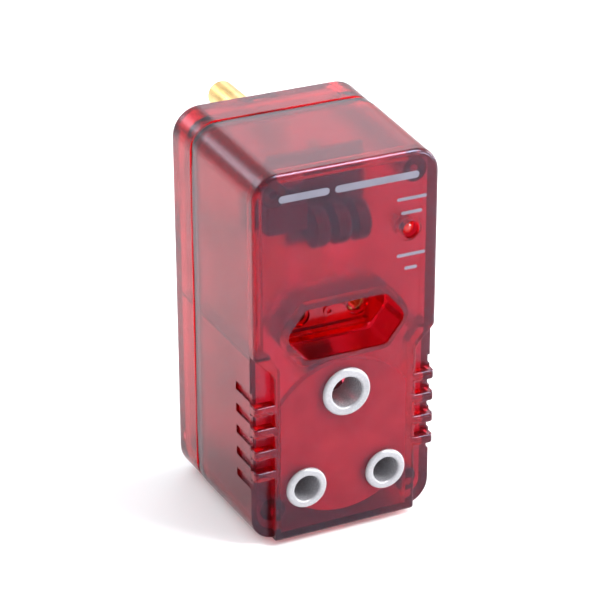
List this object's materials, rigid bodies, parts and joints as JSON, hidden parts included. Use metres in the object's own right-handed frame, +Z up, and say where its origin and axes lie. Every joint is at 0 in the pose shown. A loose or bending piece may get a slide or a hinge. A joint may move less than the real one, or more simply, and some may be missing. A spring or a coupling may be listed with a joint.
{
  "type": "surge protector plug",
  "caption": "Box-shaped translucent red surge protector that plugs in on round brass pins, with a round-pin socket, a flat hexagonal two-pin socket and a lamp.",
  "frame": {"origin": "axis of the earth plug pin where it leaves the raised pad that meets the wall outlet", "axes": "+Y runs out of the back along the plug pins, the front with the sockets faces -Y, +Z is up along the tall side, +X is to the right seen from the front"},
  "size_m": [0.0598, 0.089, 0.1186],
  "materials": {
    "red_shell": "translucent red, finely frosted outside",
    "grey_grommet": "light grey, glossy",
    "brass": "solid brass, satin",
    "steel": "zinc plated",
    "inner_plastic": "natural, matt",
    "shutter_plastic": "matt red",
    "board": "solder mask",
    "varistor": "dipped coating",
    "capacitor": "moulded box",
    "fuse": "ceramic tube",
    "lamp": "tinted clear resin",
    "lead_brown": "wire sleeve",
    "lead_blue": "wire sleeve",
    "lead_green": "wire sleeve"
  },
  "bodies": {
    "case": {"front_shell": "red_shell", "back_shell": "red_shell", "earth_grommet": "grey_grommet", "neutral_grommet": "grey_grommet", "line_grommet": "grey_grommet", "earth_pin": "brass", "neutral_pin": "brass", "line_pin": "brass", "pin_nuts": "brass", "case_screws": "steel", "socket_insert": "inner_plastic", "shutter_spring": "steel", "contact_carrier": "inner_plastic", "neutral_sleeve": "brass", "line_sleeve": "brass", "earth_sleeve": "brass", "two_pin_neutral_contact": "brass", "two_pin_line_contact": "brass", "two_pin_floor": "red_shell", "earth_bar": "brass", "neutral_bar": "brass", "line_bar": "brass", "circuit_board": "board", "varistors": "varistor", "film_capacitor": "capacitor", "thermal_fuse": "fuse", "lamp": "lamp", "line_lead": "lead_brown", "neutral_lead": "lead_blue", "earth_lead": "lead_green"},
    "shutter": {"shutter": "shutter_plastic"}
  },
  "joints": [
    {"name": "shutter_slide", "type": "slide", "parent": "case", "child": "shutter", "axis": [0, 0, -1], "range_m": [0, 0.009], "stiffness_N_per_m": 120, "springref_m": -0.004, "deforming": ["shutter_spring"]}
  ]
}
